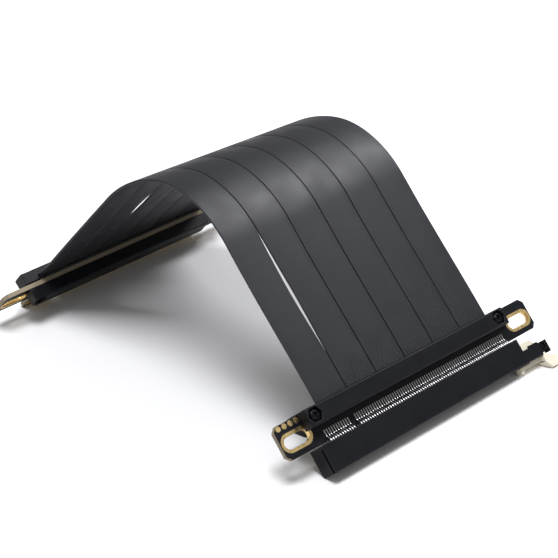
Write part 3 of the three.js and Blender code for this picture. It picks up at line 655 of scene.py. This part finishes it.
def dress_board(prefix):
    """A board in solder mask, with its cut edges in the bare core."""
    made = clean_copy(prefix + "_board", BOARD_EASE)
    finish_for("mask").wear(made)
    finish_for("core").wear(made)
    mesh = made.data
    normals = np.zeros(len(mesh.polygons) * 3)
    mesh.polygons.foreach_get("normal", normals)
    facing = np.abs(normals.reshape(-1, 3) @ HEADS[prefix].axes[2])
    mesh.polygons.foreach_set("material_index", (facing < CUT_EDGE_FACING).astype(np.int32))


def plating_ring(prefix, side, middle):
    """An ear slot's plating: a closed section carried round the oblong, flat on both faces.

    The section's rings are the hole's wall and the rim's outer edge, above and below the board.
    """
    inner = oblong_outline(*EAR_HOLE_SIZE)
    outer = oblong_outline(*EAR_SLOT_SIZE)
    near = inner + (outer - inner) * PLATING_EASE_SHARE
    levels = [
        (inner, -BOARD_THICKNESS - PLATING_PROUD + PLATING_EASE),
        (near, -BOARD_THICKNESS - PLATING_PROUD),
        (outer, -BOARD_THICKNESS - PLATING_PROUD),
        (outer, PLATING_PROUD),
        (near, PLATING_PROUD),
        (inner, PLATING_PROUD - PLATING_EASE),
    ]
    rings = [np.column_stack([line, np.full(len(line), height)]) for line, height in levels]
    placed = HEADS[prefix].place(np.concatenate(rings) + [EAR_SLOT_X, middle, 0])
    sides = len(inner)
    faces = tube_faces(len(levels) + 1, sides, closed_ends=False)
    wrapped = [[index % len(placed) for index in face] for face in faces]
    node = f"{prefix}_slot_plating_{side}"
    made = make_object("plated_" + node, placed, wrapped, replaced=(node,))
    turn_outwards(made)
    smooth_by_angle(made, PLATE_SHARP_ANGLE)
    finish_for("gold").wear(made)


def flat_pads(name, head, outline, thickness, offsets, finish):
    """Thin plates of one outline at many places on a board."""
    bottom = np.column_stack([outline, np.zeros(len(outline))])
    top = bottom + [0, 0, thickness]
    faces = tube_faces(2, len(outline))
    points, faces = repeated(np.concatenate([bottom, top]), faces, offsets)
    made = make_object(name, head.place(points), faces)
    turn_outwards(made)
    smooth_by_angle(made, PLATE_SHARP_ANGLE)
    finish_for(finish).wear(made)


def make_test_pads():
    """Four round pads along the back of the left ear."""
    angle = np.linspace(0, 2 * math.pi, PAD_STEPS, endpoint=False)
    disc = np.stack([np.cos(angle), np.sin(angle)], axis=-1) * PAD_RADIUS
    first = BOARD_START + PAD_INSET
    offsets = [(PAD_X, first + step * PAD_PITCH, 0.0) for step in range(PAD_COUNT)]
    flat_pads("test_pads", SOCKET, disc, PAD_THICKNESS, offsets, "gold")


def make_card_edge_contacts():
    """The plug's contacts: gold plates on both faces of its card edge."""
    plate = rounded_rectangle(*CARD_CONTACT_SIZE, CARD_CONTACT_CORNER, SMALL_CORNER_STEPS)
    for side, height in (("outer", 0.0), ("inner", -BOARD_THICKNESS - PAD_THICKNESS)):
        name = f"card_edge_contacts_{side}"
        offsets = contact_offsets(CARD_CONTACT_X, height)
        flat_pads(name, PLUG, plate, PAD_THICKNESS, offsets, "gold")


def contact_path():
    """A contact's line in the way-off plane, in mm: level on its pad, an eased rise, then level."""
    x = TAIL_START + TAIL_LENGTH * np.linspace(0, 1, TAIL_STEPS)
    rise = np.clip((x - TAIL_RISE_START) / TAIL_RISE_LENGTH, 0, 1)
    return np.column_stack([x, TAIL_HEIGHT + TAIL_RISE * eased(rise)])


def make_contact_rows():
    """The socket's contact tails and their pads, above and below the board.

    Each tail is a small rounded strip carried along its contact's line.
    """
    path = contact_path()
    tangent = np.gradient(path, axis=0)
    tangent /= np.linalg.norm(tangent, axis=1)[:, None]
    normal = np.stack([-tangent[:, 1], tangent[:, 0]], axis=-1)
    section = rounded_rectangle(*TAIL_SIZE, TAIL_CORNER, SMALL_CORNER_STEPS)
    ring_x = path[:, 0:1] + normal[:, 0:1] * section[None, :, 1]
    ring_z = path[:, 1:2] + normal[:, 1:2] * section[None, :, 1]
    ring_y = np.broadcast_to(section[None, :, 0], ring_x.shape)
    one = np.stack([ring_x, ring_y, ring_z], axis=-1).reshape(-1, 3)
    faces = tube_faces(len(path), len(section))
    points, faces = repeated(one, faces, contact_offsets(0.0, 0.0))
    pad = rounded_rectangle(*SOLDER_PAD_SIZE, SOLDER_PAD_CORNER, SMALL_CORNER_STEPS)
    for side in ("upper", "lower"):
        local = points.copy()
        height = 0.0
        if side == "lower":
            local[:, 2] = -BOARD_THICKNESS - local[:, 2]
            height = -BOARD_THICKNESS - SOLDER_PAD_THICKNESS
        node = f"socket_contacts_{side}"
        placed = SOCKET.place(local)
        made = make_object("tails_" + node, placed, faces, replaced=(node,))
        turn_outwards(made)
        smooth_by_angle(made, TAIL_SHARP_ANGLE)
        finish_for("tin").wear(made)
        name = f"solder_pads_{side}"
        offsets = contact_offsets(SOLDER_PAD_X, height)
        flat_pads(name, SOCKET, pad, SOLDER_PAD_THICKNESS, offsets, "tin")


# Settings


def colour_setting(name, description, default):
    """A colour that the panel shows as a swatch."""
    return bpy.props.FloatVectorProperty(
        name=name, description=description, default=default, subtype="COLOR", min=0.0, max=1.0
    )


class RiserLook(bpy.types.PropertyGroup):
    """Colours and sizes of the cable's finishes."""

    ribbon_colour: colour_setting(
        "Ribbons", "Colour of the ribbons' jackets", (0.0085, 0.0095, 0.0135)
    )
    plastic_colour: colour_setting(
        "Plastic", "Colour of the covers and the socket", (0.006, 0.0065, 0.0085)
    )
    latch_colour: colour_setting("Latch", "Colour of the latch lever", (0.83, 0.77, 0.62))
    mask_colour: colour_setting(
        "Solder mask", "Colour of the boards' faces", (0.006, 0.0068, 0.0092)
    )
    core_colour: colour_setting(
        "Board core", "Colour of the boards' cut edges", (0.27, 0.22, 0.15)
    )
    gold_colour: colour_setting(
        "Gold", "Colour of the plated slots and contacts", (1.0, 0.74, 0.33)
    )
    tin_colour: colour_setting("Tin", "Colour of the contact tails", (0.5, 0.5, 0.5))
    screw_colour: colour_setting(
        "Screws", "Colour of the screws and nuts", (0.025, 0.025, 0.028)
    )
    foam_colour: colour_setting("Foam", "Colour of the bedding strips", (0.05, 0.05, 0.052))
    weave_pitch: bpy.props.FloatProperty(
        name="Weave pitch",
        description="Spacing of the jacket's ribs in mm",
        default=0.6,
        min=0.2,
        max=3.0,
    )
    ribbon_steps: bpy.props.IntProperty(
        name="Ribbon steps",
        description="Sections along each ribbon",
        default=180,
        min=40,
        max=600,
    )


class RiserStage(bpy.types.PropertyGroup):
    """Floor and camera."""

    floor_colour: colour_setting("Floor", "Colour of the floor", (0.8, 0.8, 0.8))
    floor_white: bpy.props.FloatProperty(
        name="Floor white",
        description="Brightness of the floor as the camera sees it",
        default=1.25,
        min=0.5,
        max=4.0,
    )
    lens: bpy.props.FloatProperty(
        name="Lens",
        description="Focal length",
        default=0.09065,
        unit="LENGTH",
        min=0.02,
        max=0.3,
    )
    camera_place: bpy.props.FloatVectorProperty(
        name="Camera",
        description="Camera's place",
        default=(0.31692, -0.28092, 0.25825),
        subtype="TRANSLATION",
    )
    camera_turn: bpy.props.FloatVectorProperty(
        name="Camera turn",
        description="Camera's turn about x, y and z",
        default=(math.radians(61.05), 0.0, math.radians(47.57)),
        subtype="EULER",
    )


# Operators


class RISER_OT_ribbons(bpy.types.Operator):
    """Build the six woven ribbons"""

    bl_idname = "riser.ribbons"
    bl_label = "Ribbons"

    def execute(self, context):
        for index in range(RIBBON_COUNT):
            make_ribbon(index, context.scene.riser_look)
        return {"FINISHED"}


class RISER_OT_boards(bpy.types.Operator):
    """Dress both boards in solder mask with bare edges"""

    bl_idname = "riser.boards"
    bl_label = "Boards"

    def execute(self, context):
        for prefix in HEADS:
            dress_board(prefix)
        return {"FINISHED"}


class RISER_OT_plating(bpy.types.Operator):
    """Build the gold slot plating, test pads and card-edge contacts"""

    bl_idname = "riser.plating"
    bl_label = "Plating"

    def execute(self, context):
        ears = (("left", BOARD_START + EAR_SLOT_INSET), ("right", BOARD_END - EAR_SLOT_INSET))
        for prefix in HEADS:
            for side, middle in ears:
                plating_ring(prefix, side, middle)
        make_test_pads()
        make_card_edge_contacts()
        return {"FINISHED"}


class RISER_OT_contacts(bpy.types.Operator):
    """Build the socket's two rows of contact tails and their pads"""

    bl_idname = "riser.contacts"
    bl_label = "Contacts"

    def execute(self, context):
        make_contact_rows()
        return {"FINISHED"}


class RISER_OT_moulded(bpy.types.Operator):
    """Dress the covers, the card socket and the latch lever"""

    bl_idname = "riser.moulded"
    bl_label = "Moulded parts"

    def execute(self, context):
        covers = [f"{prefix}_{side}_cover" for prefix in HEADS for side in ("outer", "inner")]
        for node in [*covers, "socket_housing"]:
            finish_for("plastic").wear(clean_copy(node, MOULDED_EASE))
        dress_lever()
        return {"FINISHED"}


class RISER_OT_fasteners(bpy.types.Operator):
    """Dress the cover screws and nuts"""

    bl_idname = "riser.fasteners"
    bl_label = "Fasteners"

    def execute(self, context):
        for prefix in HEADS:
            for side in ("left", "right"):
                for kind in ("screw", "nut"):
                    node = f"{prefix}_cover_{kind}_{side}"
                    finish_for("screws").wear(clean_copy(node, FASTENER_EASE))
        return {"FINISHED"}


class RISER_OT_hidden(bpy.types.Operator):
    """Dress the solder bars and bedding strips under the covers"""

    bl_idname = "riser.hidden"
    bl_label = "Parts under the covers"

    def execute(self, context):
        for prefix in HEADS:
            finish_for("tin").wear(clean_copy(prefix + "_solder_bar", 0))
            finish_for("foam").wear(clean_copy(prefix + "_bedding_strip", 0))
        return {"FINISHED"}


def fade_to_white(finish, seen):
    """Far from the cable the camera sees plain white in place of the floor."""
    away = finish.add("VectorMath", operation="LENGTH")
    finish.link(finish.object_place(), away.inputs[0])
    share = finish.add("Math", operation="MULTIPLY")
    finish.link(finish.ranged(away.outputs["Value"], FLOOR_FADE, (0, 1)), share.inputs[0])
    finish.link(seen, share.inputs[1])
    glow = finish.add("Emission")
    mixed = finish.add("MixShader")
    finish.link(share.outputs[0], mixed.inputs[0])
    finish.link(finish.shader.outputs[0], mixed.inputs[1])
    finish.link(glow.outputs[0], mixed.inputs[2])
    finish.link(mixed.outputs[0], finish.nodes["Material Output"].inputs["Surface"])


def make_floor(settings):
    """A wide flat floor. The camera sees it brighter, up to white, and it keeps the shadow."""
    mesh = bpy.data.meshes.new("floor")
    half = FLOOR_HALF
    corners = [(-half, -half, 0), (half, -half, 0), (half, half, 0), (-half, half, 0)]
    mesh.from_pydata(corners, [], [(0, 1, 2, 3)])
    floor = bpy.data.objects.new("floor", mesh)
    bpy.context.scene.collection.objects.link(floor)
    finish = Finish("floor paint", settings.floor_colour, roughness=0.9, shine=0.0)
    seen = finish.add("LightPath").outputs["Is Camera Ray"]
    grain = finish.noise(finish.object_place(), scale=40, detail=2.0)
    bright = scaled(settings.floor_colour, settings.floor_white)
    paint = finish.add("Mix", data_type="RGBA")
    unseen_colour, seen_colour = colour_sockets(paint.inputs)
    finish.link(seen, paint.inputs["Factor"])
    unseen_colour.default_value = (*settings.floor_colour, 1)
    dark, light = (scaled(bright, tone) for tone in FLOOR_TONES)
    finish.link(finish.blended(grain, dark, light), seen_colour)
    finish.shade("Base Color", colour_sockets(paint.outputs)[0])
    fade_to_white(finish, seen)
    finish.wear(floor)


def make_lamp(name, place, aim, size, power):
    """A square soft lamp aimed at a point."""
    light = bpy.data.lights.new(name, "AREA")
    light.size = size
    light.energy = power
    light.color = LAMP_COLOUR
    lamp = bpy.data.objects.new(name, light)
    lamp.location = place
    lamp.rotation_euler = (Vector(aim) - Vector(place)).to_track_quat("-Z", "Y").to_euler()
    bpy.context.scene.collection.objects.link(lamp)


def make_world():
    """A surround that lights the cable softly and that the camera sees as plain white."""
    world = bpy.data.worlds.new("surround")
    world.use_nodes = True
    tree = world.node_tree
    surround = tree.nodes["Background"]
    surround.inputs["Color"].default_value = (1, 1, 1, 1)
    path = tree.nodes.new("ShaderNodeLightPath")
    strength = tree.nodes.new("ShaderNodeMapRange")
    strength.inputs["To Min"].default_value = SURROUND_STRENGTH
    strength.inputs["To Max"].default_value = WHITE_STRENGTH
    tree.links.new(path.outputs["Is Camera Ray"], strength.inputs["Value"])
    tree.links.new(strength.outputs["Result"], surround.inputs["Strength"])
    bpy.context.scene.world = world


def make_camera(settings):
    """The camera, at the photograph's viewing angle."""
    data = bpy.data.cameras.new("camera")
    data.lens = settings.lens / MM
    data.sensor_width = SENSOR_WIDTH
    data.clip_start, data.clip_end = CAMERA_CLIP
    camera = bpy.data.objects.new("camera", data)
    camera.location = settings.camera_place
    camera.rotation_euler = settings.camera_turn
    bpy.context.scene.collection.objects.link(camera)
    bpy.context.scene.camera = camera


class RISER_OT_stage(bpy.types.Operator):
    """Set up the floor, lamps, surround and camera"""

    bl_idname = "riser.stage"
    bl_label = "Stage"

    def execute(self, context):
        settings = context.scene.riser_stage
        make_floor(settings)
        for lamp in LAMPS:
            make_lamp(*lamp)
        make_world()
        make_camera(settings)
        context.scene.view_settings.view_transform = "Standard"
        return {"FINISHED"}


OPERATORS = (
    RISER_OT_ribbons,
    RISER_OT_boards,
    RISER_OT_plating,
    RISER_OT_contacts,
    RISER_OT_moulded,
    RISER_OT_fasteners,
    RISER_OT_hidden,
    RISER_OT_stage,
)


class RISER_PT_panel(bpy.types.Panel):
    """Lists the settings and the steps that build the cable"""

    bl_idname = "RISER_PT_panel"
    bl_label = "Riser cable"
    bl_space_type = "VIEW_3D"
    bl_region_type = "UI"
    bl_category = "Riser"

    def draw(self, context):
        layout = self.layout
        for settings in (context.scene.riser_look, context.scene.riser_stage):
            for name in settings.__annotations__:
                layout.prop(settings, name)
        for operator in OPERATORS:
            layout.operator(operator.bl_idname)


CLASSES = (RiserLook, RiserStage, *OPERATORS, RISER_PT_panel)


def register():
    """Adds the settings, the steps and the panel."""
    for item in CLASSES:
        bpy.utils.register_class(item)
    bpy.types.Scene.riser_look = bpy.props.PointerProperty(type=RiserLook)
    bpy.types.Scene.riser_stage = bpy.props.PointerProperty(type=RiserStage)


def unregister():
    """Takes out what register adds."""
    del bpy.types.Scene.riser_look
    del bpy.types.Scene.riser_stage
    for item in reversed(CLASSES):
        bpy.utils.unregister_class(item)


def main():
    """Builds every piece and the stage."""
    register()
    bpy.ops.riser.ribbons()
    bpy.ops.riser.boards()
    bpy.ops.riser.plating()
    bpy.ops.riser.contacts()
    bpy.ops.riser.moulded()
    bpy.ops.riser.fasteners()
    bpy.ops.riser.hidden()
    bpy.ops.riser.stage()
    bpy.context.view_layer.update()


if __name__ == "__main__":
    main()
